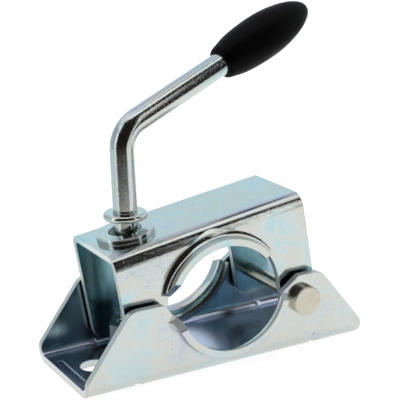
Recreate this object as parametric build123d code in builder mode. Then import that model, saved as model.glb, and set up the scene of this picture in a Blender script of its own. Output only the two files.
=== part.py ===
"""Split clamp that holds a 48 mm prop stand or jockey wheel tube on a trailer.

A channel of pressed steel carries a half-round cradle, and a second channel, hinged to it on a
riveted pin, closes over the tube. A cranked handle with a screw draws the two together.

X runs along the clamp, Y along the tube and Z up. The origin is under the middle of the cradle,
on the underside of the base. Everything is in millimetres and degrees.
"""

import os
from math import cos, radians, sin

from build123d import *

os.makedirs("parts", exist_ok=True)

# Tube and sheet
TUBE_RADIUS = 24.0
SHEET = 3.0
SIDE_GAP = 2.0
RUNNING_PLAY = 0.05
LIP_LAND = 1.2
LIP_OVERLAP = 1.2
LIP_SEAM = 0.7

# Base bracket
BASE_WIDTH = 52.0
BASE_BEND = 6.2
BASE_REACH = 64.0
BASE_HEIGHT = 33.1
CRADLE_HEIGHT = 33.1
SLOPE_FOOT_HEIGHT = 7.0
SLOPE_TOP_REACH = 44.0
SLOPE_FOOT_ROUND = 4.0
SLOPE_TOP_ROUND = 6.0
MOUTH_LEFT = -29.4
MOUTH_RIGHT = 33.0
MOUTH_LAND = 1.5
MOUTH_ROUND = 3.0
BASE_LIP_REACH = 4.1
BASE_LIP_BEND = 2.8
BASE_LIP_START = 195.0
BASE_LIP_END = 346.5
BASE_LIP_START_TAPER = 11.0
BASE_LIP_END_TAPER = 4.5
FIXING_HOLE_RADIUS = 6.0
FIXING_HOLE_REACH = 50.0

# Stiffening darts across the base's folds
DART_REACH = 41.0
DART_RADIUS = 2.3
DART_SETBACK = 3.0
DART_RISE = 1.5

# Coined step across the left end of the floor
STEP_X = -60.5
STEP_WIDTH = 2.5
STEP_LENGTH = 25.0
STEP_DEPTH = 0.3

# Hinge pin
PIN_X = 35.14
PIN_Z = 22.4
PIN_RADIUS = 3.0
PIN_HEAD_RADIUS = 6.3
PIN_HEAD_HEIGHT = 3.6
PIN_HEAD_ROUND = 0.5
RIVET_RADIUS = 5.0
RIVET_HEIGHT = 2.4
RIVET_ROUND = 1.6

# Clamp arm, drawn as it lies on the tube and then closed to where it rests
ARM_CLOSED = 8.06
ARM_LEFT = -42.7
ARM_RIGHT = 44.3
ARM_TOP = 65.4
ARM_BEND = 5.6
ARCH_X = 0.5
ARCH_Z = 32.8
ARCH_NOTCH_GAP = 2.15
ARCH_NOTCH_SHIFT = 0.95
ARM_LIP_REACH = 4.9
ARM_LIP_BEND = 2.6
ARM_LIP_START = 28.0
ARM_LIP_END = 157.0
ARM_LIP_START_TAPER = 4.0
ARM_LIP_END_TAPER = 15.0
RIGHT_TONGUE_FOOT = 12.8
RIGHT_TONGUE_ROUND = 4.0
LEFT_TONGUE_FOOT = 16.0
LEFT_TONGUE_ROUND = 6.0
INNER_TONGUE_ROUND = 5.0
SLOT_LEFT = -38.9
SLOT_RIGHT = -20.9
SLOT_WIDTH = 11.4

# Screw, nut, collar and washer
ROD_X = -32.5
ROD_RADIUS = 5.0
NECK_RADIUS = 4.6
NECK_FOOT = 53.0
ROD_FOOT = 5.5
ROD_CHAMFER = 1.0
COLLAR_RADIUS = 9.1
COLLAR_HEIGHT = 2.9
COLLAR_TOP = 65.9
COLLAR_ROUND = 1.3
NUT_ACROSS_FLATS = 17.0
NUT_HEIGHT = 16.0
NUT_CHAMFER = 0.8
WASHER_RADIUS = 12.0
WASHER_HOLE_RADIUS = 6.75
WASHER_THICKNESS = 2.3
WASHER_ROUND = 0.4
WASHER_X = -27.4

# Handle limb and grip
CORNER_HEIGHT = 99.1
CORNER_ROUND = 12.0
LIMB_AZIMUTH = 10.0
LIMB_RISE = 20.8
LIMB_LENGTH = 92.0
GRIP_START = 55.2
GRIP_NEAR_RADIUS = 5.8
GRIP_TIP = 106.6
GRIP_BORE_END = 93.0
# Radii of the grip at distances along the limb
GRIP_PROFILE = (
    (55.6, 6.55),
    (57.5, 7.35),
    (62.7, 8.65),
    (69.6, 9.5),
    (78.0, 9.85),
    (86.9, 9.35),
    (93.5, 8.2),
    (98.7, 6.7),
    (103.0, 4.7),
    (105.6, 2.6),
)

arm_width = BASE_WIDTH - 2 * SHEET - 2 * SIDE_GAP
base_face = BASE_WIDTH / 2
arm_face = arm_width / 2
cradle = (0, CRADLE_HEIGHT)
arch = (ARCH_X, ARCH_Z)
arch_notch_radius = TUBE_RADIUS + ARCH_NOTCH_GAP
pin_axis = Axis((PIN_X, 0, PIN_Z), (0, 1, 0))


def polar(centre, radius, angle):
    """Point at a radius and angle from a centre, in the side view."""
    x = centre[0] + radius * cos(radians(angle))
    z = centre[1] + radius * sin(radians(angle))
    return (x, z)


def corners(sketch, *points):
    """Vertices of a sketch under way that lie at the given points of its own plane."""
    tolerance = 0.01
    found = []
    for vertex in sketch.vertices():
        for x, y in points:
            if abs(vertex.X - x) < tolerance and abs(vertex.Y - y) < tolerance:
                found.append(vertex)
    return found


def sheet_box(width, length_start, length_end, fold_z, height, bend):
    """Rounded tube of sheet along X, of which a side view keeps one half as a channel."""
    with BuildPart() as box:
        with BuildSketch(Plane.YZ.offset(length_start)):
            with Locations((0, fold_z)):
                RectangleRounded(width, height, bend)
                RectangleRounded(
                    width - 2 * SHEET, height - 2 * SHEET, bend - SHEET, mode=Mode.SUBTRACT
                )
        extrude(amount=length_end - length_start)
    return box.part


def lip(centre, start, end, tapers, inner_face, reach, bend):
    """Collar folded outward from a wall round the tube, over an arc given in degrees.

    The tapers say by how many degrees the rim is shorter than the root, at the start and the end.
    """
    side = 1 if inner_face > 0 else -1
    inner_round = min(bend + SHEET, SHEET + reach - LIP_LAND)
    root = TUBE_RADIUS + SHEET + bend
    rim = SHEET + reach
    x_dir = Vector(cos(radians(start)), 0, sin(radians(start)))
    origin = (centre[0], inner_face, centre[1])
    with BuildPart() as collar:
        with BuildSketch(Plane(origin, x_dir=x_dir, z_dir=x_dir.cross(Vector(0, side, 0)))):
            with BuildLine():
                Polyline(
                    (TUBE_RADIUS, inner_round),
                    (TUBE_RADIUS, rim),
                    (TUBE_RADIUS + SHEET, rim),
                    (TUBE_RADIUS + SHEET, SHEET + bend),
                )
                CenterArc((root, SHEET + bend), bend, 180, 90)
                Polyline(
                    (root, SHEET),
                    (root + LIP_OVERLAP, SHEET / 2),
                    (root + LIP_OVERLAP, 0),
                    (TUBE_RADIUS + inner_round, 0),
                )
                CenterArc((TUBE_RADIUS + inner_round, inner_round), inner_round, 270, -90)
            make_face()
        revolve(axis=Axis((centre[0], 0, centre[1]), (0, -1, 0)), revolution_arc=end - start)
        outward = Vector(0, side, 0)
        for angle, taper, turn in ((start, tapers[0], -1), (end, tapers[1], 1)):
            radial = Vector(cos(radians(angle)), 0, sin(radians(angle)))
            past_end = Vector(-sin(radians(angle)), 0, cos(radians(angle))) * turn
            slant = past_end * reach + outward * (TUBE_RADIUS * radians(taper))
            x, z = polar(centre, TUBE_RADIUS + SHEET, angle)
            face = Vector(x, inner_face + side * SHEET, z)
            with BuildSketch(Plane(origin=face, x_dir=radial, z_dir=slant)):
                Rectangle(TUBE_RADIUS, 2 * TUBE_RADIUS)
            extrude(amount=TUBE_RADIUS, mode=Mode.SUBTRACT)
    return collar.part


def lip_room(centre, start, end, bend):
    """Part of a wall's side view that a collar takes up, a little short of both its ends."""
    middle = (start + end) / 2
    with BuildSketch(Plane.XZ) as room:
        with Locations(centre):
            Circle(TUBE_RADIUS + SHEET + bend)
        Polygon(
            centre,
            polar(centre, 3 * TUBE_RADIUS, start + LIP_SEAM),
            polar(centre, 3 * TUBE_RADIUS, middle),
            polar(centre, 3 * TUBE_RADIUS, end - LIP_SEAM),
            align=None,
            mode=Mode.INTERSECT,
        )
    return room.sketch


def dart(x, side):
    """Round bar across a fold of the base, along the line from floor to wall."""
    with BuildPart() as bar:
        foot = (x, side * (base_face - DART_SETBACK), 0)
        head = (x, side * base_face, DART_SETBACK)
        direction = Vector(*head) - Vector(*foot)
        start = Vector(*foot) - direction * 2
        with BuildSketch(Plane(origin=start, z_dir=direction)):
            Circle(DART_RADIUS)
        extrude(amount=5 * direction.length)
    return bar.part


def dart_rib(x, side):
    """Rib that a dart raises on the inside of a fold."""
    with BuildPart() as rib:
        foot = (x, side * (base_face - DART_SETBACK), 0)
        head = (x, side * base_face, DART_SETBACK)
        direction = Vector(*head) - Vector(*foot)
        start = Vector(*foot) - direction * 2
        with BuildSketch(Plane(origin=start, z_dir=direction)):
            Circle(DART_RADIUS + DART_RISE)
        extrude(amount=5 * direction.length)
        with BuildSketch(Plane.YZ.offset(x)):
            with Locations((0, BASE_HEIGHT)):
                RectangleRounded(BASE_WIDTH - SHEET, 2 * BASE_HEIGHT - SHEET, BASE_BEND)
        extrude(amount=2 * (DART_RADIUS + DART_RISE), both=True, mode=Mode.INTERSECT)
    return rib.part


def side_cut(radius, x, z):
    """Round bar along Y, for holes through both walls of a channel."""
    with BuildPart() as bar:
        with BuildSketch(Plane.XZ):
            with Locations((x, z)):
                Circle(radius)
        extrude(amount=BASE_WIDTH, both=True)
    return bar.part


def save(part, name):
    """Label a piece and write its file."""
    part.label = name
    export_step(part, f"parts/{name}.step")


# Base bracket, seen from the side
mouth_radius = TUBE_RADIUS + MOUTH_LAND
left_shoulder = (MOUTH_LEFT, BASE_HEIGHT)
right_shoulder = (MOUTH_RIGHT, BASE_HEIGHT)
left_top = (-SLOPE_TOP_REACH, BASE_HEIGHT)
right_top = (SLOPE_TOP_REACH, BASE_HEIGHT)
left_foot = (-BASE_REACH, SLOPE_FOOT_HEIGHT)
right_foot = (BASE_REACH, SLOPE_FOOT_HEIGHT)
with BuildSketch(Plane.XZ) as base_side:
    Polygon(
        (-BASE_REACH, 0), (BASE_REACH, 0), right_foot, right_top, left_top, left_foot, align=None
    )
    Polygon(
        left_shoulder,
        polar(cradle, mouth_radius, BASE_LIP_START),
        cradle,
        polar(cradle, mouth_radius, BASE_LIP_END),
        right_shoulder,
        align=None,
        mode=Mode.SUBTRACT,
    )
    with Locations(cradle):
        Circle(mouth_radius, mode=Mode.SUBTRACT)
    fillet(corners(base_side, left_foot, right_foot), SLOPE_FOOT_ROUND)
    fillet(corners(base_side, left_top, right_top), SLOPE_TOP_ROUND)
    fillet(corners(base_side, left_shoulder, right_shoulder), MOUTH_ROUND)
base_room = lip_room(cradle, BASE_LIP_START, BASE_LIP_END, BASE_LIP_BEND)
base_tapers = (BASE_LIP_START_TAPER, BASE_LIP_END_TAPER)

with BuildPart() as base_bracket:
    add(sheet_box(BASE_WIDTH, -BASE_REACH, BASE_REACH, BASE_HEIGHT, 2 * BASE_HEIGHT, BASE_BEND))
    extrude(base_side.sketch - base_room, amount=BASE_WIDTH, both=True, mode=Mode.INTERSECT)
    for inner_face in (SHEET - base_face, base_face - SHEET):
        add(
            lip(
                cradle,
                BASE_LIP_START,
                BASE_LIP_END,
                base_tapers,
                inner_face,
                BASE_LIP_REACH,
                BASE_LIP_BEND,
            )
        )
    for x in (-DART_REACH, DART_REACH):
        for side in (-1, 1):
            add(dart_rib(x, side))
            add(dart(x, side), mode=Mode.SUBTRACT)
    add(side_cut(PIN_RADIUS + RUNNING_PLAY, PIN_X, PIN_Z), mode=Mode.SUBTRACT)
    with BuildSketch(Plane.XY):
        with Locations((-FIXING_HOLE_REACH, 0), (FIXING_HOLE_REACH, 0)):
            Circle(FIXING_HOLE_RADIUS)
    extrude(amount=SHEET, mode=Mode.SUBTRACT)
    with BuildSketch(Plane.XY.offset(SHEET)):
        with Locations((STEP_X, 0)):
            Rectangle(STEP_WIDTH, STEP_LENGTH)
    extrude(amount=-STEP_DEPTH, mode=Mode.SUBTRACT)

# Clamp arm, seen from the side
arm_corners_left = (ARM_LEFT, LEFT_TONGUE_FOOT)
arm_corners_right = (ARM_RIGHT, RIGHT_TONGUE_FOOT)
notch_x = ARCH_X + ARCH_NOTCH_SHIFT
notch_left = (notch_x - arch_notch_radius, LEFT_TONGUE_FOOT)
notch_right = (notch_x + arch_notch_radius, RIGHT_TONGUE_FOOT)
with BuildSketch(Plane.XZ) as arm_side:
    Polygon(
        (ARM_LEFT, ARM_TOP),
        arm_corners_left,
        (ARCH_X, LEFT_TONGUE_FOOT),
        (ARCH_X, RIGHT_TONGUE_FOOT),
        arm_corners_right,
        (ARM_RIGHT, ARM_TOP),
        align=None,
    )
    with Locations((notch_x, ARCH_Z)):
        Circle(arch_notch_radius, mode=Mode.SUBTRACT)
    with Locations((notch_x, ARCH_Z / 2)):
        Rectangle(2 * arch_notch_radius, ARCH_Z, mode=Mode.SUBTRACT)
    fillet(corners(arm_side, arm_corners_left), LEFT_TONGUE_ROUND)
    fillet(corners(arm_side, arm_corners_right), RIGHT_TONGUE_ROUND)
    fillet(corners(arm_side, notch_left, notch_right), INNER_TONGUE_ROUND)

arm_room = lip_room(arch, ARM_LIP_START, ARM_LIP_END, ARM_LIP_BEND)
arm_tapers = (ARM_LIP_START_TAPER, ARM_LIP_END_TAPER)

with BuildPart() as arm_flat:
    add(sheet_box(arm_width, ARM_LEFT, ARM_RIGHT, 0, 2 * ARM_TOP, ARM_BEND))
    extrude(arm_side.sketch - arm_room, amount=BASE_WIDTH, both=True, mode=Mode.INTERSECT)
    for inner_face in (SHEET - arm_face, arm_face - SHEET):
        add(
            lip(
                arch,
                ARM_LIP_START,
                ARM_LIP_END,
                arm_tapers,
                inner_face,
                ARM_LIP_REACH,
                ARM_LIP_BEND,
            )
        )
    add(side_cut(PIN_RADIUS + RUNNING_PLAY, PIN_X, PIN_Z), mode=Mode.SUBTRACT)
    with BuildSketch(Plane.XY.offset(ARM_TOP)):
        with Locations(((SLOT_LEFT + SLOT_RIGHT) / 2, 0)):
            SlotOverall(SLOT_RIGHT - SLOT_LEFT, SLOT_WIDTH)
    extrude(amount=-2 * SHEET, mode=Mode.SUBTRACT)

with BuildPart() as clamp_arm:
    add(arm_flat.part.rotate(pin_axis, -ARM_CLOSED))

# Hinge pin with its riveted tail
with BuildPart() as pivot_pin:
    with BuildSketch(Plane.XZ.offset(base_face)):
        with Locations((PIN_X, PIN_Z)):
            Circle(PIN_HEAD_RADIUS)
    extrude(amount=PIN_HEAD_HEIGHT)
    fillet(pivot_pin.edges().group_by(Axis.Y)[0], PIN_HEAD_ROUND)
    with BuildSketch(Plane.XZ.offset(base_face)):
        with Locations((PIN_X, PIN_Z)):
            Circle(PIN_RADIUS)
    extrude(amount=-BASE_WIDTH)
    with BuildSketch(Plane.XZ.offset(-base_face)):
        with Locations((PIN_X, PIN_Z)):
            Circle(RIVET_RADIUS)
    extrude(amount=-RIVET_HEIGHT)
    fillet(pivot_pin.edges().group_by(Axis.Y)[-1], RIVET_ROUND)

# Nut on the floor, under the screw
with BuildPart() as clamp_nut:
    with BuildSketch(Plane.XY.offset(SHEET)):
        with Locations((ROD_X, 0)):
            RegularPolygon(NUT_ACROSS_FLATS / 2, 6, major_radius=False)
            Circle(ROD_RADIUS + RUNNING_PLAY, mode=Mode.SUBTRACT)
    extrude(amount=NUT_HEIGHT)
    chamfer(clamp_nut.edges().group_by(Axis.Z)[-1].filter_by(GeomType.CIRCLE), NUT_CHAMFER)

# Loose washer on the arm's top
with BuildPart() as washer_flat:
    with BuildSketch(Plane.XY.offset(ARM_TOP)):
        with Locations((WASHER_X, 0)):
            Circle(WASHER_RADIUS)
            Circle(WASHER_HOLE_RADIUS, mode=Mode.SUBTRACT)
    extrude(amount=WASHER_THICKNESS)
    fillet(washer_flat.edges().group_by(Axis.Z)[-1], WASHER_ROUND)

with BuildPart() as flat_washer:
    add(washer_flat.part.rotate(pin_axis, -ARM_CLOSED))

# Collar that the handle presses on the washer
with BuildPart() as handle_collar:
    with BuildSketch(Plane.XY.offset(COLLAR_TOP - COLLAR_HEIGHT)):
        with Locations((ROD_X, 0)):
            Circle(COLLAR_RADIUS)
            Circle(NECK_RADIUS + RUNNING_PLAY, mode=Mode.SUBTRACT)
    extrude(amount=COLLAR_HEIGHT)
    outer_rims = [
        edge
        for edge in handle_collar.edges().filter_by(GeomType.CIRCLE)
        if edge.radius > COLLAR_RADIUS - RUNNING_PLAY
    ]
    fillet(outer_rims, COLLAR_ROUND)

# Screw and cranked limb, bent from one bar
limb = Vector(
    cos(radians(LIMB_RISE)) * cos(radians(LIMB_AZIMUTH)),
    cos(radians(LIMB_RISE)) * sin(radians(LIMB_AZIMUTH)),
    sin(radians(LIMB_RISE)),
)
corner = Vector(ROD_X, 0, CORNER_HEIGHT)
shoulder = Vector(ROD_X, 0, COLLAR_TOP + RUNNING_PLAY)
with BuildLine() as bar_line:
    FilletPolyline(shoulder, corner, corner + limb * LIMB_LENGTH, radius=CORNER_ROUND)

with BuildPart() as handle_rod:
    with BuildSketch(Plane.XY.offset(shoulder.Z)):
        with Locations((ROD_X, 0)):
            Circle(ROD_RADIUS)
    sweep(path=bar_line.wires()[0])
    with BuildSketch(Plane.XY.offset(shoulder.Z)):
        with Locations((ROD_X, 0)):
            Circle(NECK_RADIUS)
    extrude(amount=NECK_FOOT - shoulder.Z)
    with BuildSketch(Plane.XY.offset(ROD_FOOT)):
        with Locations((ROD_X, 0)):
            Circle(ROD_RADIUS)
    extrude(amount=NECK_FOOT - ROD_FOOT)
    chamfer(handle_rod.edges().group_by(Axis.Z)[0], ROD_CHAMFER)

# Grip pushed on the limb
side_way = limb.cross(Vector(0, 0, 1)).normalized()
grip_plane = Plane(origin=corner, x_dir=limb, z_dir=side_way)
with BuildPart() as handle_grip:
    with BuildSketch(grip_plane):
        with BuildLine():
            Line((GRIP_START, 0), (GRIP_START, GRIP_NEAR_RADIUS))
            Spline((GRIP_START, GRIP_NEAR_RADIUS), *GRIP_PROFILE, (GRIP_TIP, 0))
            Line((GRIP_TIP, 0), (GRIP_START, 0))
        make_face()
    revolve(axis=Axis(corner, limb))
    with BuildSketch(Plane(origin=corner + limb * GRIP_START, z_dir=limb)):
        Circle(ROD_RADIUS + RUNNING_PLAY)
    extrude(amount=GRIP_BORE_END - GRIP_START, mode=Mode.SUBTRACT)

save(base_bracket.part, "base_bracket")
save(clamp_arm.part, "clamp_arm")
save(pivot_pin.part, "pivot_pin")
save(clamp_nut.part, "clamp_nut")
save(flat_washer.part, "flat_washer")
save(handle_collar.part, "handle_collar")
save(handle_rod.part, "handle_rod")
save(handle_grip.part, "handle_grip")
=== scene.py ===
"""Split clamp for a prop stand or jockey wheel tube: finishes, threaded handle bar and studio.

Everything is in metres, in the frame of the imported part, with +Z up. Sizes that are easier to read
in millimetres are turned to metres by MM.
"""

import logging
import math
from dataclasses import dataclass
from enum import Enum

import bmesh
import bpy
from mathutils import Matrix, Vector


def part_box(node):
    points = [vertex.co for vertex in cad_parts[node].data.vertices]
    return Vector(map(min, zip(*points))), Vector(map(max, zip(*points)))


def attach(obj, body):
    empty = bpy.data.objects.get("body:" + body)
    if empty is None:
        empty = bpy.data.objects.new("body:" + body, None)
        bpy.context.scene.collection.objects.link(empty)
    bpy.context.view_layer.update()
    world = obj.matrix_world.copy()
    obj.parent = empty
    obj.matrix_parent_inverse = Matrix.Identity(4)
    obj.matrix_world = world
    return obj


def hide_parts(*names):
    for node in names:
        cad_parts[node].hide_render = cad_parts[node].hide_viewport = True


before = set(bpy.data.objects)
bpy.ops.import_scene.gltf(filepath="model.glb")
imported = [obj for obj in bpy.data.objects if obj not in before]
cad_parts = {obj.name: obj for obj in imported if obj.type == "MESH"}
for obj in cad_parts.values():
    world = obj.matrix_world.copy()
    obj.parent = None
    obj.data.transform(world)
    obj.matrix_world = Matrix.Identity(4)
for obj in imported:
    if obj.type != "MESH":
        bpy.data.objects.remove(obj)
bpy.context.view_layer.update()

MM = 0.001
log = logging.getLogger("clamp")


class Body(Enum):
    """Moving bodies of the clamp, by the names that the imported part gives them."""

    BASE = "base"
    ARM = "arm"
    WASHER = "washer"
    COLLAR = "collar"
    HANDLE = "handle"


class Slot(Enum):
    """Material slots of the part's record."""

    ZINC = "zinc_plate"
    GRIP = "black_grip"


def linear(colour: str) -> tuple[float, float, float, float]:
    """Turn an sRGB hex colour to linear light.

    Args:
        colour: Hex colour such as "#D2D8D6".

    Returns:
        Red, green, blue and an alpha of 1.
    """
    channels = []
    for start in (1, 3, 5):
        value = int(colour[start:start + 2], 16) / 255
        channels.append(value / 12.92 if value <= 0.04045 else ((value + 0.055) / 1.055) ** 2.4)
    return (*channels, 1.0)


def add_node(
    tree: bpy.types.NodeTree, kind: str, inputs: dict | None = None, **settings: object
) -> bpy.types.Node:
    """Add a node to a tree, with its settings, values and links.

    Args:
        tree: Node tree that gets the node.
        kind: The node's type name.
        inputs: Values for its inputs by name or number. A socket is linked, and a node is linked
            by its first output.
        **settings: Attributes of the node itself.

    Returns:
        The new node.
    """
    node = tree.nodes.new(kind)
    for name, value in settings.items():
        setattr(node, name, value)
    for key, value in (inputs or {}).items():
        if isinstance(value, bpy.types.Node):
            value = value.outputs[0]
        if isinstance(value, bpy.types.NodeSocket):
            tree.links.new(value, node.inputs[key])
        else:
            node.inputs[key].default_value = value
    return node


def colour_ramp(node: bpy.types.Node, stops: list[tuple[float, tuple]]) -> None:
    """Set a colour ramp's stops.

    Args:
        node: Colour ramp node.
        stops: Position and linear colour of each stop, in rising order.
    """
    elements = node.color_ramp.elements
    while len(elements) < len(stops):
        elements.new(1.0)
    for element, (position, colour) in zip(elements, stops):
        element.position = position
        element.color = colour


def new_material(name: str) -> tuple[bpy.types.Material, bpy.types.NodeTree, bpy.types.Node]:
    """Make a material with only an output node.

    Args:
        name: The material's name.

    Returns:
        The material, its tree and the output node.
    """
    material = bpy.data.materials.new(name)
    material.use_nodes = True
    tree = material.node_tree
    tree.nodes.clear()
    output = add_node(tree, "ShaderNodeOutputMaterial")
    return material, tree, output


@dataclass(frozen=True)
class Fold:
    """Folded channel's inner faces and cut edges, where the finish differs from its outside.

    Inside the channel the colour is replaced: on the walls by painted shade, darker and bluer,
    with darker streaks down them, and on the broad inner face by a lilac tint on the base and by the
    same painted shade on the arm. The inner faces are also duller. The cut edges are dull, and so
    are the torn ends of the collars, which look paler. The broad face's plane is given by its
    direction and its distance from the origin, on the side of the walls. Each fade holds the two
    distances, or tilts, between which one finish passes into the next, and the run values give the
    darker streaks on the walls.
    """

    half_width_mm: float
    up: tuple[float, float, float]
    plane_mm: float
    # Colours inside the channel: painted shade on the walls and, near it, the broad face's colour
    wall: str = "#9BB5C1"
    broad: str = "#9BB5C1"
    inner_roughness: float = 0.22
    cut_roughness: float = 0.42
    cut_metallic: float = 0.7
    burrs_mm: tuple[tuple[float, float, float], ...] = ()
    burr_reach_mm: float = 4.5
    burr_fade_mm: float = 1.0
    run_mm: float = 5.0
    run_stretch: tuple[float, float, float] = (1.0, 1.0, 0.3)
    run_span: tuple[float, float] = (0.45, 0.62)
    run_shade: float = 0.75
    wall_fade_mm: tuple[float, float] = (0.1, 0.5)
    plane_fade_mm: tuple[float, float] = (0.2, 0.6)
    broad_fade_mm: tuple[float, float] = (-2.5, -0.8)
    cut_fade_mm: tuple[float, float] = (0.05, 0.2)
    cut_tilt: tuple[float, float] = (0.03, 0.08)


@dataclass(frozen=True)
class ZincPlate:
    """Bright zinc electroplate with a clear blue passivate, over cold-rolled steel.

    The eye sees a pale silver with faint straw, cyan and lilac clouds, where the passivate's film
    differs in thickness, thin tide marks where it dried, a painted bluer shade inside the channels,
    soft reflections with a fine speckle, and the rolling marks of the steel below.
    """

    name: str
    pale: str = "#CCD4D3"
    straw: str = "#CED0C8"
    cyan: str = "#C1D4D6"
    lilac: str = "#C4C7D3"
    tide: str = "#AEBFC4"
    roughness: float = 0.15
    rub_spread: tuple[float, float] = (-0.04, 0.05)
    speckle_roughness: float = 0.14
    speckle_shade: float = 0.92
    cloud_mm: float = 15.0
    grain_mm: float = 0.5
    grain_depth_mm: float = 0.03
    scratch_mm: float = 0.5
    wave_mm: float = 7.0
    wave_depth_mm: float = 0.03
    edge_mm: float = 0.45
    stretch: tuple[float, float, float] = (0.06, 1.0, 1.0)
    fold: Fold | None = None

    def inner_shade_and_cut_edges(
        self, tree: bpy.types.NodeTree, coordinate: bpy.types.Node, millimetres: bpy.types.Node,
        colour: bpy.types.NodeSocket, roughness: bpy.types.Node,
    ) -> tuple[bpy.types.NodeSocket, bpy.types.Node, bpy.types.Node]:
        """Paint shade inside the channel, and change the finish on its cut edges.

        Args:
            tree: Shader tree.
            coordinate: Texture coordinate node.
            millimetres: Place on the piece, in millimetres.
            colour: Colour of the outside.
            roughness: Roughness of the outside.

        Returns:
            Colour, roughness and metallic share of the whole piece.
        """
        fold = self.fold
        # Place across the channel, and towards its broad inner face
        parts = add_node(tree, "ShaderNodeSeparateXYZ", {0: millimetres})
        across = add_node(tree, "ShaderNodeMath", {0: parts.outputs[1]}, operation="ABSOLUTE")
        rise = add_node(
            tree, "ShaderNodeVectorMath", {0: millimetres, 1: fold.up}, operation="DOT_PRODUCT"
        ).outputs["Value"]
        # Painted shade goes inside: between the walls, and on their side of the broad face
        between = add_node(
            tree, "ShaderNodeMapRange",
            {"Value": across, "From Min": fold.half_width_mm + fold.wall_fade_mm[0],
             "From Max": fold.half_width_mm + fold.wall_fade_mm[1], "To Min": 1.0,
             "To Max": 0.0},
        )
        below = add_node(
            tree, "ShaderNodeMapRange",
            {"Value": rise, "From Min": fold.plane_mm + fold.plane_fade_mm[0],
             "From Max": fold.plane_mm + fold.plane_fade_mm[1], "To Min": 1.0, "To Max": 0.0},
        )
        inside = add_node(tree, "ShaderNodeMath", {0: between, 1: below}, operation="MULTIPLY")
        near = add_node(
            tree, "ShaderNodeMapRange",
            {"Value": rise, "From Min": fold.plane_mm + fold.broad_fade_mm[0],
             "From Max": fold.plane_mm + fold.broad_fade_mm[1]},
        )
        # Darker streaks down the walls, in their painted shade
        down = add_node(
            tree, "ShaderNodeMapping", {"Vector": millimetres, "Scale": fold.run_stretch}
        )
        runs = add_node(
            tree, "ShaderNodeTexNoise",
            {"Vector": down, "Scale": 1 / fold.run_mm, "Detail": 4.0, "Distortion": 0.6},
        )
        shade = add_node(
            tree, "ShaderNodeMapRange",
            {"Value": runs, "From Min": fold.run_span[0], "From Max": fold.run_span[1],
             "To Min": 1.0, "To Max": fold.run_shade},
        )
        # Painted shade of the inner faces: the darker, bluer wall colour, and the broad face's
        # colour near it
        walls = add_node(
            tree, "ShaderNodeMix", {"Factor": 1.0, 6: linear(fold.wall), 7: shade},
            data_type="RGBA", blend_type="MULTIPLY",
        )
        film = add_node(
            tree, "ShaderNodeMix", {"Factor": near, 6: walls.outputs[2], 7: linear(fold.broad)},
            data_type="RGBA",
        )
        # Inside the channel the painted shade takes the place of the outside colour
        inner_shaded_colour = add_node(
            tree, "ShaderNodeMix", {"Factor": inside, 6: colour, 7: film.outputs[2]},
            data_type="RGBA",
        )
        # Cut edges: outside the inner faces, on faces that run straight across the sheet
        facing = add_node(tree, "ShaderNodeSeparateXYZ", {0: coordinate.outputs["Normal"]})
        tilt = add_node(tree, "ShaderNodeMath", {0: facing.outputs[1]}, operation="ABSOLUTE")
        level = add_node(
            tree, "ShaderNodeMapRange",
            {"Value": tilt, "From Min": fold.cut_tilt[0], "From Max": fold.cut_tilt[1],
             "To Min": 1.0, "To Max": 0.0},
        )
        outer = add_node(
            tree, "ShaderNodeMapRange",
            {"Value": across, "From Min": fold.half_width_mm + fold.cut_fade_mm[0],
             "From Max": fold.half_width_mm + fold.cut_fade_mm[1]},
        )
        cut = add_node(tree, "ShaderNodeMath", {0: level, 1: outer}, operation="MULTIPLY")
        mirrored = add_node(
            tree, "ShaderNodeCombineXYZ", {0: parts.outputs[0], 1: across, 2: parts.outputs[2]}
        )
        for burr in fold.burrs_mm:
            away = add_node(
                tree, "ShaderNodeVectorMath", {0: mirrored, 1: burr}, operation="DISTANCE"
            )
            torn = add_node(
                tree, "ShaderNodeMapRange",
                {"Value": away.outputs["Value"],
                 "From Min": fold.burr_reach_mm - fold.burr_fade_mm,
                 "From Max": fold.burr_reach_mm, "To Min": 1.0, "To Max": 0.0},
            )
            cut = add_node(tree, "ShaderNodeMath", {0: cut, 1: torn}, operation="MAXIMUM")
        dull = add_node(
            tree, "ShaderNodeMix", {"Factor": inside, "A": roughness, "B": fold.inner_roughness}
        )
        duller = add_node(
            tree, "ShaderNodeMix", {"Factor": cut, "A": dull, "B": fold.cut_roughness}
        )
        metallic = add_node(
            tree, "ShaderNodeMapRange", {"Value": cut, "To Min": 1.0, "To Max": fold.cut_metallic}
        )
        return inner_shaded_colour.outputs[2], duller, metallic

    def material(self) -> bpy.types.Material:
        """Build the finish.

        Returns:
            The material.
        """
        material, tree, output = new_material(self.name)
        coordinate = add_node(tree, "ShaderNodeTexCoord")
        millimetres = add_node(
            tree, "ShaderNodeMapping",
            {"Vector": coordinate.outputs["Object"], "Scale": (1 / MM, 1 / MM, 1 / MM)},
        )
        # Clouds of the passivate's film, with a thin darker tide mark between two of them
        clouds = add_node(
            tree, "ShaderNodeTexNoise",
            {"Vector": millimetres, "Scale": 1 / self.cloud_mm, "Detail": 5.0, "Roughness": 0.62,
             "Distortion": 0.4},
        )
        tint = add_node(tree, "ShaderNodeValToRGB", {"Fac": clouds})
        colour_ramp(tint, [
            (0.33, linear(self.cyan)),
            (0.45, linear(self.pale)),
            (0.53, linear(self.straw)),
            (0.575, linear(self.pale)),
            (0.582, linear(self.tide)),
            (0.59, linear(self.pale)),
            (0.68, linear(self.lilac)),
        ])
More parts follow.
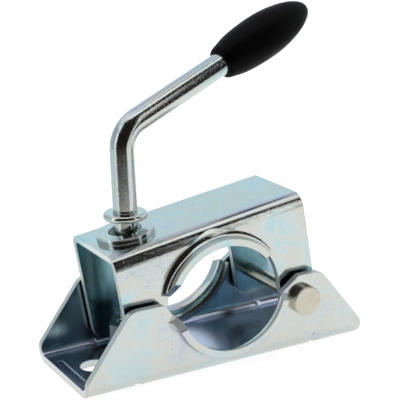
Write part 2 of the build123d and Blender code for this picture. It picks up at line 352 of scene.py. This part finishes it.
        # Fine speckle, which darkens, dulls and roughens the plate a little
        grain = add_node(
            tree, "ShaderNodeTexNoise",
            {"Vector": millimetres, "Scale": 1 / self.grain_mm, "Detail": 2.0},
        )
        darker = add_node(
            tree, "ShaderNodeMapRange",
            {"Value": grain, "From Min": 0.3, "From Max": 0.7, "To Min": self.speckle_shade,
             "To Max": 1.0},
        )
        speckled = add_node(
            tree, "ShaderNodeMix", {"Factor": 1.0, 6: tint, 7: darker},
            data_type="RGBA", blend_type="MULTIPLY",
        )
        speckle = add_node(
            tree, "ShaderNodeMapRange",
            {"Value": grain, "From Min": 0.5, "From Max": 0.7, "To Min": 0.0,
             "To Max": self.speckle_roughness},
        )
        # Rolling or drawing marks of the steel below, drawn out along the sheet or bar
        drawn_out = add_node(
            tree, "ShaderNodeMapping", {"Vector": millimetres, "Scale": self.stretch}
        )
        scratches = add_node(
            tree, "ShaderNodeTexNoise",
            {"Vector": drawn_out, "Scale": 1 / self.scratch_mm, "Detail": 2.0},
        )
        rubbed = add_node(
            tree, "ShaderNodeMapRange",
            {"Value": scratches, "From Min": 0.35, "From Max": 0.7,
             "To Min": self.roughness + self.rub_spread[0],
             "To Max": self.roughness + self.rub_spread[1]},
        )
        colour = speckled.outputs[2]
        roughness = add_node(tree, "ShaderNodeMath", {0: rubbed, 1: speckle}, operation="ADD")
        metallic = 1.0
        # Painted shade inside the channel, and duller cut edges
        if self.fold:
            colour, roughness, metallic = self.inner_shade_and_cut_edges(
                tree, coordinate, millimetres, colour, roughness
            )
        # Rounded edges, the sheet's slight waviness and the speckle's relief
        softened = add_node(
            tree, "ShaderNodeBevel", {"Radius": self.edge_mm * MM}, samples=4
        )
        waves = add_node(
            tree, "ShaderNodeTexNoise",
            {"Vector": millimetres, "Scale": 1 / self.wave_mm, "Detail": 2.0},
        )
        sheet = add_node(
            tree, "ShaderNodeBump",
            {"Strength": 1.0, "Distance": self.wave_depth_mm * MM, "Height": waves,
             "Normal": softened},
        )
        surface = add_node(
            tree, "ShaderNodeBump",
            {"Strength": 0.5, "Distance": self.grain_depth_mm * MM, "Height": grain,
             "Normal": sheet},
        )
        shader = add_node(
            tree, "ShaderNodeBsdfPrincipled",
            {"Base Color": colour, "Metallic": metallic, "Roughness": roughness,
             "Normal": surface},
        )
        tree.links.new(shader.outputs[0], output.inputs[0])
        return material


@dataclass(frozen=True)
class MouldedGrip:
    """Black moulded PVC with a satin skin.

    The eye sees a deep black with a soft sheen along its top and a faint haze of fine pores.
    """

    name: str = "satin_black_pvc"
    black: str = "#040404"
    worn: str = "#080605"
    sheen: float = 0.05
    roughness: float = 0.4
    haze_mm: float = 9.0
    pore_mm: float = 0.35
    pore_depth_mm: float = 0.03

    def material(self) -> bpy.types.Material:
        """Build the finish.

        Returns:
            The material.
        """
        material, tree, output = new_material(self.name)
        coordinate = add_node(tree, "ShaderNodeTexCoord")
        millimetres = add_node(
            tree, "ShaderNodeMapping",
            {"Vector": coordinate.outputs["Object"], "Scale": (1 / MM, 1 / MM, 1 / MM)},
        )
        haze = add_node(
            tree, "ShaderNodeTexNoise",
            {"Vector": millimetres, "Scale": 1 / self.haze_mm, "Detail": 3.0},
        )
        tint = add_node(tree, "ShaderNodeValToRGB", {"Fac": haze})
        colour_ramp(tint, [(0.35, linear(self.black)), (0.7, linear(self.worn))])
        rubbed = add_node(
            tree, "ShaderNodeMapRange",
            {"Value": haze, "From Min": 0.3, "From Max": 0.7,
             "To Min": self.roughness - 0.05, "To Max": self.roughness + 0.1},
        )
        pores = add_node(
            tree, "ShaderNodeTexNoise",
            {"Vector": millimetres, "Scale": 1 / self.pore_mm, "Detail": 2.0},
        )
        skin = add_node(
            tree, "ShaderNodeBump",
            {"Strength": 0.3, "Distance": self.pore_depth_mm * MM, "Height": pores},
        )
        shader = add_node(
            tree, "ShaderNodeBsdfPrincipled",
            {"Base Color": tint, "Roughness": rubbed, "IOR": 1.5,
             "Specular IOR Level": self.sheen, "Normal": skin},
        )
        tree.links.new(shader.outputs[0], output.inputs[0])
        return material


def dress(name: str, material: bpy.types.Material) -> None:
    """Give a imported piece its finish.

    Args:
        name: The piece's name.
        material: Finish for all its faces.
    """
    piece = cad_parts[name]
    piece.data.materials.clear()
    piece.data.materials.append(material)
    log.info("%s: %s", name, material.name)


@dataclass
class BaseAssembly:
    """Base bracket with the nut on its floor and the hinge pin through its walls."""

    # Pale, slightly wavy silver outside, with duller walls darkened by painted blue shade and a
    # lilac floor inside
    sheet: ZincPlate = ZincPlate(
        "bright_zinc_pressed_sheet",
        fold=Fold(
            half_width_mm=23.0, up=(0.0, 0.0, -1.0), plane_mm=-3.0, broad="#CBCFE2",
            burrs_mm=((-23.9, 27.0, 24.8),),
        ),
    )
    # Dull steel-blue block, its colour darkened with painted shade for the channel it sits in
    nut: ZincPlate = ZincPlate(
        "shade_darkened_zinc_nut", pale="#5C6B71", straw="#62696A", cyan="#566F76",
        lilac="#606577", tide="#4E5D63", roughness=0.3, cloud_mm=9.0,
    )
    # Warmer, duller disc against the bluer wall
    pin: ZincPlate = ZincPlate(
        "straw_zinc_headed_pin", pale="#CCC8BA", straw="#D0CAB8", cyan="#C8CCC2",
        lilac="#CAC6BC", tide="#B9B3A4", roughness=0.28, cloud_mm=5.0, wave_depth_mm=0.015,
    )

    def build(self) -> None:
        """Dress the three pieces."""
        dress("base_bracket", self.sheet.material())
        dress("clamp_nut", self.nut.material())
        dress("pivot_pin", self.pin.material())


@dataclass
class ArmAssembly:
    """Clamp arm and the loose washer on its top."""

    # Brighter, smoother silver than the base, with cyan clouds, and inner faces darkened by
    # blue-green painted shade
    sheet: ZincPlate = ZincPlate(
        "bright_zinc_pressed_arm", cyan="#B0D5DB", cloud_mm=19.0, roughness=0.12,
        fold=Fold(
            half_width_mm=18.0, up=(-0.1402, 0.0, 0.9901), plane_mm=57.25, wall="#80AAB3",
            broad="#80AAB3",
        ),
    )
    # Shiny ring with soft edges from the punch, which mirrors what stands on it
    washer: ZincPlate = ZincPlate(
        "bright_zinc_stamped_washer", cyan="#BFD9DA", roughness=0.14, speckle_roughness=0.08,
        cloud_mm=12.0, wave_depth_mm=0.006, edge_mm=1.0,
    )

    def build(self) -> None:
        """Dress the two pieces."""
        dress("clamp_arm", self.sheet.material())
        dress("flat_washer", self.washer.material())


@dataclass
class HandleAssembly:
    """Cranked bar with a rolled screw thread, its collar and its grip."""

    bar_radius: float = 5.0 * MM
    neck_radius: float = 4.6 * MM
    neck_foot: float = 53.0 * MM
    screw_pitch: float = 1.5 * MM
    screw_depth: float = 0.85 * MM
    thread_flat: float = 0.06
    foot_step: float = 0.2 * MM
    neck_slack: float = 0.01 * MM
    corner_height: float = 99.1 * MM
    corner_radius: float = 12.0 * MM
    limb_azimuth: float = math.radians(10.0)
    limb_rise: float = math.radians(20.8)
    limb_length: float = 92.0 * MM
    bend_points: int = 24
    fine_rows: int = 244
    plain_rows: int = 100
    facets: int = 32
    # Long bright and dark streaks along a smooth bar
    bar: ZincPlate = ZincPlate(
        "bright_zinc_drawn_bar", cyan="#C3D5D6", cloud_mm=24.0, roughness=0.13,
        wave_depth_mm=0.008, stretch=(1.0, 1.0, 0.1),
    )
    # Small shiny ring with a cyan cast
    ring: ZincPlate = ZincPlate(
        "bright_zinc_turned_collar", cyan="#BFD9DA", cloud_mm=9.0, roughness=0.13,
        wave_depth_mm=0.006,
    )
    grip: MouldedGrip = MouldedGrip()

    def bar_tree(self, finish: bpy.types.Material) -> bpy.types.NodeTree:
        """Build the node tree that wraps a bar with a thread round the crank's centre line.

        Args:
            finish: Material of the bar.

        Returns:
            The geometry node tree.
        """
        tree = bpy.data.node_groups.new("threaded_crank_bar", "GeometryNodeTree")
        tree.interface.new_socket("Geometry", in_out="OUTPUT", socket_type="NodeSocketGeometry")
        for name in ("Foot", "Corner", "Tip"):
            tree.interface.new_socket(name, in_out="INPUT", socket_type="NodeSocketVector")
        for name in (
            "Corner radius", "Bar radius", "Neck radius", "Thread length", "Neck length",
            "Pitch", "Depth",
        ):
            tree.interface.new_socket(name, in_out="INPUT", socket_type="NodeSocketFloat")
        given = add_node(tree, "NodeGroupInput").outputs
        output = add_node(tree, "NodeGroupOutput")

        # Centre line: three points, the middle one rounded
        straight = add_node(
            tree, "GeometryNodeCurvePrimitiveLine", {"Start": given["Foot"], "End": given["Tip"]}
        )
        points = add_node(tree, "GeometryNodeResampleCurve", {"Curve": straight, "Count": 3})
        index = add_node(tree, "GeometryNodeInputIndex")
        middle = add_node(
            tree, "FunctionNodeCompare", {2: index, 3: 1}, data_type="INT", operation="EQUAL"
        )
        bent = add_node(
            tree, "GeometryNodeSetPosition",
            {"Geometry": points, "Selection": middle, "Position": given["Corner"]},
        )
        crank = add_node(
            tree, "GeometryNodeFilletCurve",
            {"Curve": bent, "Count": self.bend_points, "Radius": given["Corner radius"]},
            mode="POLY",
        )
        total = add_node(tree, "GeometryNodeCurveLength", {"Curve": crank})

        # Rows of points up a unit cylinder, close together along the screw and the neck
        rows = self.fine_rows + self.plain_rows
        share = self.fine_rows / rows
        tube = add_node(
            tree, "GeometryNodeMeshCylinder",
            {"Vertices": self.facets, "Side Segments": rows, "Fill Segments": 1, "Radius": 1.0,
             "Depth": 1.0},
            fill_type="NGON",
        )
        position = add_node(tree, "GeometryNodeInputPosition")
        parts = add_node(tree, "ShaderNodeSeparateXYZ", {0: position})
        height = add_node(tree, "ShaderNodeMath", {0: parts.outputs[2], 1: 0.5}, operation="ADD")
        shoulder = add_node(
            tree, "ShaderNodeMath", {0: given["Thread length"], 1: given["Neck length"]},
            operation="ADD",
        )
        rest = add_node(tree, "ShaderNodeMath", {0: total, 1: shoulder}, operation="SUBTRACT")
        low_part = add_node(
            tree, "ShaderNodeMapRange", {"Value": height, "From Max": share, "To Max": shoulder}
        )
        high_part = add_node(
            tree, "ShaderNodeMapRange", {"Value": height, "From Min": share, "To Max": rest}
        )
        along = add_node(tree, "ShaderNodeMath", {0: low_part, 1: high_part}, operation="ADD")

        # Helical thread: half a pitch from root to crest and half a pitch back
        angle = add_node(
            tree, "ShaderNodeMath", {0: parts.outputs[1], 1: parts.outputs[0]},
            operation="ARCTAN2",
        )
        part_turn = add_node(
            tree, "ShaderNodeMath", {0: angle, 1: 2 * math.pi}, operation="DIVIDE"
        )
        pitches = add_node(
            tree, "ShaderNodeMath", {0: along, 1: given["Pitch"]}, operation="DIVIDE"
        )
        turns = add_node(
            tree, "ShaderNodeMath", {0: pitches, 1: part_turn}, operation="SUBTRACT"
        )
        flank = add_node(tree, "ShaderNodeMath", {0: turns, 1: 0.5}, operation="PINGPONG")
        root = add_node(
            tree, "ShaderNodeMath", {0: given["Bar radius"], 1: given["Depth"]},
            operation="SUBTRACT",
        )
        threaded = add_node(
            tree, "ShaderNodeMapRange",
            {"Value": flank, "From Min": self.thread_flat, "From Max": 0.5 - self.thread_flat,
             "To Min": root, "To Max": given["Bar radius"]},
        )

        # Radius: the thread, the plain neck, then the full bar, with a bevel at the foot
        above_screw = add_node(
            tree, "ShaderNodeMath", {0: along, 1: given["Thread length"]},
            operation="GREATER_THAN",
        )
        neck_end = add_node(
            tree, "ShaderNodeMath", {0: shoulder, 1: self.neck_slack}, operation="SUBTRACT"
        )
        above_neck = add_node(
            tree, "ShaderNodeMath", {0: along, 1: neck_end}, operation="GREATER_THAN"
        )
        lower = add_node(
            tree, "ShaderNodeMix",
            {"Factor": above_screw, "A": threaded, "B": given["Neck radius"]},
        )
        radius = add_node(
            tree, "ShaderNodeMix", {"Factor": above_neck, "A": lower, "B": given["Bar radius"]}
        )
        foot_radius = add_node(
            tree, "ShaderNodeMath", {0: root, 1: self.foot_step}, operation="SUBTRACT"
        )
        bevel = add_node(tree, "ShaderNodeMath", {0: along, 1: foot_radius}, operation="ADD")
        tapered = add_node(
            tree, "ShaderNodeMath", {0: radius, 1: bevel}, operation="MINIMUM"
        )

        # Each point goes round the centre line at its own length along it
        sample = add_node(
            tree, "GeometryNodeSampleCurve", {"Curves": crank, "Length": along}, mode="LENGTH"
        )
        side_way = add_node(
            tree, "ShaderNodeVectorMath",
            {0: sample.outputs["Tangent"], 1: sample.outputs["Normal"]},
            operation="CROSS_PRODUCT",
        )
        first_reach = add_node(
            tree, "ShaderNodeMath", {0: parts.outputs[0], 1: tapered}, operation="MULTIPLY"
        )
        second_reach = add_node(
            tree, "ShaderNodeMath", {0: parts.outputs[1], 1: tapered}, operation="MULTIPLY"
        )
        outward = add_node(
            tree, "ShaderNodeVectorMath",
            {0: sample.outputs["Normal"], "Scale": first_reach}, operation="SCALE",
        )
        sideways = add_node(
            tree, "ShaderNodeVectorMath", {0: side_way, "Scale": second_reach},
            operation="SCALE",
        )
        offset = add_node(tree, "ShaderNodeVectorMath", {0: outward, 1: sideways})
        place = add_node(
            tree, "ShaderNodeVectorMath", {0: sample.outputs["Position"], 1: offset}
        )
        wrapped = add_node(tree, "GeometryNodeSetPosition", {"Geometry": tube, "Position": place})
        smooth = add_node(tree, "GeometryNodeSetShadeSmooth", {0: wrapped})
        realised = add_node(tree, "GeometryNodeRealizeInstances", {0: smooth})
        dressed = add_node(
            tree, "GeometryNodeSetMaterial", {0: realised, "Material": finish}
        )
        tree.links.new(dressed.outputs[0], output.inputs[0])
        return tree

    def build_bar(self) -> bpy.types.Object:
        """Build the bar, from the screw's foot to the end inside the grip.

        Returns:
            The bar as one plain mesh.
        """
        low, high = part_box("handle_collar")
        axis_x = (low.x + high.x) / 2
        foot = Vector((axis_x, 0.0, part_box("handle_rod")[0].z))
        corner = Vector((axis_x, 0.0, self.corner_height))
        limb = Vector((
            math.cos(self.limb_rise) * math.cos(self.limb_azimuth),
            math.cos(self.limb_rise) * math.sin(self.limb_azimuth),
            math.sin(self.limb_rise),
        ))
        values = {
            "Foot": foot,
            "Corner": corner,
            "Tip": corner + limb * self.limb_length,
            "Corner radius": self.corner_radius,
            "Bar radius": self.bar_radius,
            "Neck radius": self.neck_radius,
            "Thread length": self.neck_foot - foot.z,
            "Neck length": high.z - self.neck_foot,
            "Pitch": self.screw_pitch,
            "Depth": self.screw_depth,
        }
        return grow("cranked_screw_bar", self.bar_tree(self.bar.material()), values)

    def build(self) -> None:
        """Build the bar and dress the collar and grip."""
        bar = self.build_bar()
        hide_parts("handle_rod")
        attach(bar, Body.HANDLE.value)
        log.info("%s: %d faces", bar.name, len(bar.data.polygons))
        dress("handle_collar", self.ring.material())
        dress("handle_grip", self.grip.material())


def grow(name: str, tree: bpy.types.NodeTree, values: dict[str, object]) -> bpy.types.Object:
    """Run a geometry node tree and keep its result as a plain mesh.

    Args:
        name: Name of the piece.
        tree: Geometry node tree with no geometry input.
        values: Value of each named input.

    Returns:
        The piece, at the origin, with no modifier.
    """
    seed = bpy.data.objects.new(name + "_seed", bpy.data.meshes.new(name + "_seed"))
    bpy.context.scene.collection.objects.link(seed)
    modifier = seed.modifiers.new("nodes", "NODES")
    modifier.node_group = tree
    for item in tree.interface.items_tree:
        if item.in_out == "INPUT" and item.name in values:
            modifier[item.identifier] = values[item.name]
    depsgraph = bpy.context.evaluated_depsgraph_get()
    mesh = bpy.data.meshes.new_from_object(seed.evaluated_get(depsgraph))
    bpy.data.objects.remove(seed)
    mesh.name = name
    piece = bpy.data.objects.new(name, mesh)
    bpy.context.scene.collection.objects.link(piece)
    return piece


@dataclass(frozen=True)
class Card:
    """Curved studio card that only reflections see.

    Azimuths are in degrees round the object, 0 at its front and rising to its right. The profile
    holds the card's distance and height, in metres.
    """

    name: str
    azimuth_start: float
    azimuth_end: float
    profile: tuple[tuple[float, float], ...]
    colour: str
    strength: float = 1.0
    steps: int = 24

    def build(self) -> bpy.types.Object:
        """Build the card.

        Returns:
            The card's object.
        """
        mesh = bmesh.new()
        rings = []
        for step in range(self.steps + 1):
            share = step / self.steps
            azimuth = math.radians(
                self.azimuth_start + share * (self.azimuth_end - self.azimuth_start)
            )
            rings.append([
                mesh.verts.new((reach * math.sin(azimuth), -reach * math.cos(azimuth), height))
                for reach, height in self.profile
            ])
        for ring, following in zip(rings, rings[1:]):
            for low in range(len(self.profile) - 1):
                mesh.faces.new((ring[low], following[low], following[low + 1], ring[low + 1]))
        data = bpy.data.meshes.new(self.name)
        mesh.to_mesh(data)
        mesh.free()
        material, tree, output = new_material(self.name)
        light = add_node(
            tree, "ShaderNodeEmission",
            {"Color": linear(self.colour), "Strength": self.strength},
        )
        tree.links.new(light.outputs[0], output.inputs[0])
        data.materials.append(material)
        card = bpy.data.objects.new(self.name, data)
        bpy.context.scene.collection.objects.link(card)
        card.visible_camera = False
        card.visible_diffuse = False
        card.visible_transmission = False
        card.visible_shadow = False
        return card


@dataclass(frozen=True)
class Softbox:
    """Soft lamp that faces the clamp and doesn't show in its reflections."""

    name: str
    place: tuple[float, float, float]
    size: tuple[float, float]
    power: float
    aim: tuple[float, float, float] = (0.0, 0.0, 0.05)

    def build(self) -> None:
        """Build the lamp."""
        data = bpy.data.lights.new(self.name, "AREA")
        data.shape = "RECTANGLE"
        data.size, data.size_y = self.size
        data.energy = self.power
        lamp = bpy.data.objects.new(self.name, data)
        lamp.location = self.place
        facing = Vector(self.aim) - lamp.location
        lamp.rotation_euler = facing.to_track_quat("-Z", "Y").to_euler()
        lamp.visible_glossy = False
        bpy.context.scene.collection.objects.link(lamp)


WHITE = "#FFFFFF"
DARK_ROOM = "#2E2823"
GREY_CEILING = "#9A9894"
DARK_FLOOR = "#3A3631"

# Cards round the clamp, each for one band that the photograph shows in the plate
CARDS = (
    # Wide dark band on the bar, the arm's bend and the collars
    Card("dark_room", -84.0, 44.0, ((1.0, -0.04), (1.0, 1.0), (0.62, 1.55)), DARK_ROOM, 0.6),
    Card("dark_corner", 44.0, 60.0, ((1.0, -0.04), (1.0, 1.2)), DARK_ROOM, 0.6),
    # Bright line along the arm's top edge, fading to its right
    Card("overhead", -84.0, 66.0, ((0.6, 1.62), (0.15, 1.62)), WHITE, 1.35),
    Card("overhead_edge", 66.0, 106.0, ((0.6, 1.62), (0.36, 1.62)), WHITE, 1.35),
    Card("grey_overhead", 66.0, 106.0, ((0.36, 1.62), (0.15, 1.62)), GREY_CEILING),
    Card("grey_ceiling", 106.0, 130.0, ((0.6, 1.62), (0.15, 1.62)), GREY_CEILING),
    # Light part of the arm's bend, right of the seat
    Card("window", 23.2, 30.0, ((0.97, -0.03), (0.97, 1.25)), WHITE, 1.35),
    # Table that darkens with distance, in the bar's long dark streak
    Card("near_table", -80.0, 16.0, ((0.18, 0.001), (0.26, 0.002)), "#BDBCB6"),
    Card("middle_table", -80.0, 16.0, ((0.26, 0.001), (0.34, 0.002)), "#75736D"),
    Card("dark_table", -80.0, 16.0, ((0.34, 0.001), (1.0, 0.002)), DARK_FLOOR),
    Card("dark_table_edge", 32.0, 58.0, ((0.52, 0.001), (1.0, 0.002)), DARK_FLOOR),
    # Bright line near the bar's left edge, and the greys beside it
    Card("left_strip", -96.0, -85.0, ((0.95, 0.0), (0.95, 1.2)), WHITE, 1.7),
    Card("left_table", -165.0, -96.0, ((0.15, 0.001), (1.0, 0.002)), "#E1F0F1"),
    Card("grey_wall", -165.0, -97.0, ((1.1, 0.0), (1.1, 0.9)), "#B9C6CD"),
    # Grey-green of the bar's right side
    Card("right_table", 60.0, 105.0, ((0.24, 0.001), (1.1, 0.002)), "#B0C3BE"),
    # Cyan and lilac of the faces that look up
    Card("rear_wall", 95.0, 195.0, ((1.2, 0.0), (1.2, 0.7)), "#D6EEF6", 1.08),
    Card("rear_ceiling", 95.0, 195.0, ((1.2, 0.71), (0.55, 1.7)), "#D5D9EC"),
)

SOFTBOXES = (
    Softbox("top_softbox", (0.1, 0.25, 1.3), (1.0, 0.8), 9.0),
    Softbox("left_softbox", (-1.1, -0.3, 0.7), (0.5, 0.9), 4.0),
)


@dataclass
class Studio:
    """White table, softboxes, dark room and the camera."""

    floor_size: float = 6.0
    floor_drop: float = 0.05 * MM
    floor_white: str = "#909090"
    floor_glow: float = 0.86
    sky_light: float = 0.44
    camera_target: tuple[float, float, float] = (1.69 * MM, 0.0, 64.86 * MM)
    camera_distance: float = 521.22 * MM
    camera_azimuth: float = math.radians(27.79)
    camera_elevation: float = math.radians(16.12)
    camera_roll: float = math.radians(-2.10)
    camera_lens: float = 113.15

    def seen(self, tree: bpy.types.NodeTree) -> bpy.types.Node:
        """Add the test for rays that show a background: camera, glossy and transmission rays.

        Args:
            tree: Shader tree.

        Returns:
            Node whose output is 1 on such rays and 0 on the others.
        """
        path = add_node(tree, "ShaderNodeLightPath")
        first = add_node(
            tree, "ShaderNodeMath",
            {0: path.outputs["Is Camera Ray"], 1: path.outputs["Is Glossy Ray"]},
            operation="MAXIMUM",
        )
        return add_node(
            tree, "ShaderNodeMath", {0: first, 1: path.outputs["Is Transmission Ray"]},
            operation="MAXIMUM",
        )

    def build_floor(self) -> bpy.types.Object:
        """Build the white table.

        Returns:
            The table's object.
        """
        half = self.floor_size / 2
        mesh = bmesh.new()
        mesh.faces.new([
            mesh.verts.new((x, y, -self.floor_drop))
            for x, y in ((-half, -half), (half, -half), (half, half), (-half, half))
        ])
        data = bpy.data.meshes.new("white_table")
        mesh.to_mesh(data)
        mesh.free()
        material, tree, output = new_material("matt_white_table")
        paint = add_node(
            tree, "ShaderNodeBsdfDiffuse", {"Color": linear(self.floor_white), "Roughness": 0.5}
        )
        glow = add_node(
            tree, "ShaderNodeMath", {0: self.seen(tree), 1: self.floor_glow}, operation="MULTIPLY"
        )
        light = add_node(tree, "ShaderNodeEmission", {"Strength": glow})
        both = add_node(tree, "ShaderNodeAddShader", {0: paint, 1: light})
        tree.links.new(both.outputs[0], output.inputs[0])
        data.materials.append(material)
        floor = bpy.data.objects.new("white_table", data)
        bpy.context.scene.collection.objects.link(floor)
        return floor

    def build_world(self) -> None:
        """Build the world: white where it is seen, and a plain soft light on the rest."""
        world = bpy.data.worlds.new("soft_studio")
        bpy.context.scene.world = world
        world.use_nodes = True
        tree = world.node_tree
        tree.nodes.clear()
        output = add_node(tree, "ShaderNodeOutputWorld")
        level = add_node(
            tree, "ShaderNodeMapRange",
            {"Value": self.seen(tree), "To Min": self.sky_light, "To Max": 1.0},
        )
        light = add_node(
            tree, "ShaderNodeBackground", {"Color": linear(WHITE), "Strength": level}
        )
        tree.links.new(light.outputs[0], output.inputs[0])

    def build_camera(self) -> None:
        """Build the camera at the photograph's viewing angle."""
        azimuth, elevation = self.camera_azimuth, self.camera_elevation
        view = Vector((
            math.sin(azimuth) * math.cos(elevation),
            math.cos(azimuth) * math.cos(elevation),
            -math.sin(elevation),
        ))
        right = Vector((math.cos(azimuth), -math.sin(azimuth), 0.0))
        up = right.cross(view)
        turn = Matrix.Rotation(-self.camera_roll, 3, view)
        right, up = turn @ right, turn @ up
        data = bpy.data.cameras.new("camera")
        data.lens = self.camera_lens
        camera = bpy.data.objects.new("camera", data)
        camera.matrix_world = Matrix((right, up, -view)).transposed().to_4x4()
        camera.location = Vector(self.camera_target) - view * self.camera_distance
        bpy.context.scene.collection.objects.link(camera)
        bpy.context.scene.camera = camera

    def build(self) -> None:
        """Build the whole studio."""
        floor = self.build_floor()
        [card.build() for card in CARDS]
        self.build_world()
        for softbox in SOFTBOXES:
            softbox.build()
        self.build_camera()
        log.info("studio: %d cards", len(CARDS))


def use_plain_colours() -> None:
    """Show the render's colours as they are, with no tone curve."""
    bpy.context.scene.view_settings.view_transform = "Standard"


def main() -> None:
    """Build the clamp's looks, then the studio."""
    logging.basicConfig(level=logging.INFO, format="%(name)s %(message)s")
    for assembly in (BaseAssembly(), ArmAssembly(), HandleAssembly(), Studio()):
        assembly.build()
    use_plain_colours()


if __name__ == "__main__":
    main()
